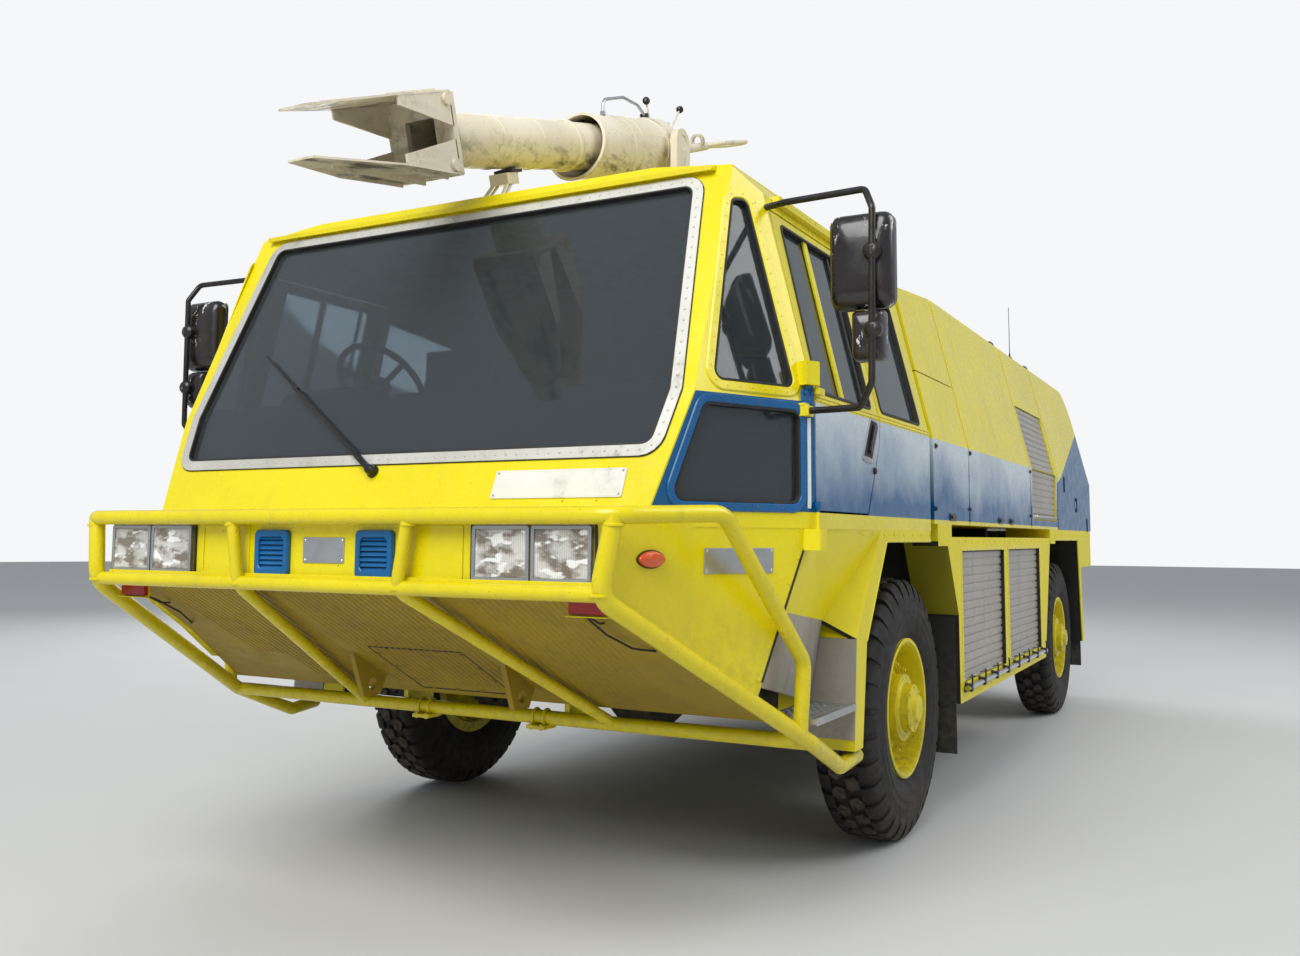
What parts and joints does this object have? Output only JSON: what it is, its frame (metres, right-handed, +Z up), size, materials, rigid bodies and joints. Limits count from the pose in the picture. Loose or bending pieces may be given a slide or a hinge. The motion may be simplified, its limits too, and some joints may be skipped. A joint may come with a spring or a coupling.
{
  "type": "airport fire truck",
  "caption": "Four-wheel-drive airport fire truck with a forward cab, tubular bull bar, roof monitor, side lockers with roller shutters, opening doors, steered front wheels.",
  "frame": {"origin": "on the ground under the middle of the whole truck, midway between the parked monitor's tip and the rear bumper", "axes": "+Z up, -Y forward, +X to the truck's left side"},
  "size_m": [3.726, 8.7465, 4.0891],
  "materials": {
    "yellow_paint": "fluorescent yellow gloss paint, faded and dusty",
    "blue_paint": "blue gloss paint",
    "yellow_rim": "yellow paint, dull",
    "cream_paint": "cream paint, grimy with green growth",
    "alloy": "mill aluminium, satin",
    "underframe": "black chassis paint, dusty",
    "engine_iron": "painted iron",
    "lamp_glass": "lamp glass over a bright reflector",
    "tinted_glass": "tinted window glass",
    "grey_plastic": "grained trim",
    "black_plastic": "black moulding, scuffed",
    "seat_cloth": "woven seat cloth",
    "flap_rubber": "sheet rubber",
    "tyre": "worn tyre rubber"
  },
  "bodies": {
    "truck": {"chassis": "underframe", "front_axle": "underframe", "rear_axle": "underframe", "drivetrain": "underframe", "engine": "engine_iron", "nose": "yellow_paint", "apron": "yellow_paint", "bull_bar": "yellow_paint", "lamps": "lamp_glass", "nose_grilles": "blue_paint", "cab_shell": "yellow_paint", "cab_roof": "yellow_paint", "screen_frame": "alloy", "cab_glass": "tinted_glass", "cab_floor": "yellow_paint", "dashboard": "grey_plastic", "seat_frames": "underframe", "seat_pads": "seat_cloth", "wiper": "black_plastic", "mirrors": "black_plastic", "steps": "alloy", "wings": "yellow_paint", "mudflaps": "flap_rubber", "body_core": "yellow_paint", "body_panels": "yellow_paint", "side_lockers": "yellow_paint", "shutters": "alloy", "rear_bumper": "underframe", "roof_fittings": "alloy", "monitor_mount": "cream_paint"},
    "door_left": {"door_left": "yellow_paint", "door_glass_left": "tinted_glass"},
    "door_right": {"door_right": "yellow_paint", "door_glass_right": "tinted_glass"},
    "knuckle_left": {"knuckle_left": "underframe"},
    "knuckle_right": {"knuckle_right": "underframe"},
    "wheel_front_left": {"tyre_front_left": "tyre", "rim_front_left": "yellow_rim"},
    "wheel_front_right": {"tyre_front_right": "tyre", "rim_front_right": "yellow_rim"},
    "wheel_rear_left": {"tyre_rear_left": "tyre", "rim_rear_left": "yellow_rim"},
    "wheel_rear_right": {"tyre_rear_right": "tyre", "rim_rear_right": "yellow_rim"},
    "monitor_turret": {"monitor_turret": "cream_paint"},
    "monitor_barrel": {"monitor_barrel": "cream_paint"}
  },
  "joints": [
    {"name": "door_left_hinge", "type": "hinge", "parent": "truck", "child": "door_left", "pos_m": [1.546, -3.19788, 2], "axis": [0, 0, -1], "range_deg": [0, 75]},
    {"name": "door_right_hinge", "type": "hinge", "parent": "truck", "child": "door_right", "pos_m": [-1.546, -3.19788, 2], "axis": [0, 0, 1], "range_deg": [0, 75]},
    {"name": "steer_left", "type": "hinge", "parent": "truck", "child": "knuckle_left", "pos_m": [1.08, -1.66788, 0.624], "axis": [0, 0, 1], "range_deg": [-28, 28]},
    {"name": "steer_right", "type": "hinge", "parent": "truck", "child": "knuckle_right", "pos_m": [-1.08, -1.66788, 0.624], "axis": [0, 0, 1], "range_deg": [-28, 28]},
    {"name": "roll_front_left", "type": "hinge", "parent": "knuckle_left", "child": "wheel_front_left", "pos_m": [1.305, -1.66788, 0.624], "axis": [1, 0, 0], "continuous": true},
    {"name": "roll_front_right", "type": "hinge", "parent": "knuckle_right", "child": "wheel_front_right", "pos_m": [-1.305, -1.66788, 0.624], "axis": [1, 0, 0], "continuous": true},
    {"name": "roll_rear_left", "type": "hinge", "parent": "truck", "child": "wheel_rear_left", "pos_m": [1.305, 2.91512, 0.624], "axis": [1, 0, 0], "continuous": true},
    {"name": "roll_rear_right", "type": "hinge", "parent": "truck", "child": "wheel_rear_right", "pos_m": [-1.305, 2.91512, 0.624], "axis": [1, 0, 0], "continuous": true},
    {"name": "monitor_turn", "type": "hinge", "parent": "truck", "child": "monitor_turret", "pos_m": [0, -1.72788, 3.2], "axis": [0, 0, 1], "range_deg": [-110, 110]},
    {"name": "monitor_lift", "type": "hinge", "parent": "monitor_turret", "child": "monitor_barrel", "pos_m": [0, -1.72788, 3.635], "axis": [-1, 0, 0], "range_deg": [0, 50]}
  ],
  "couplings": [
    {"joint": "steer_right", "follows": "steer_left", "ratio": 1}
  ]
}
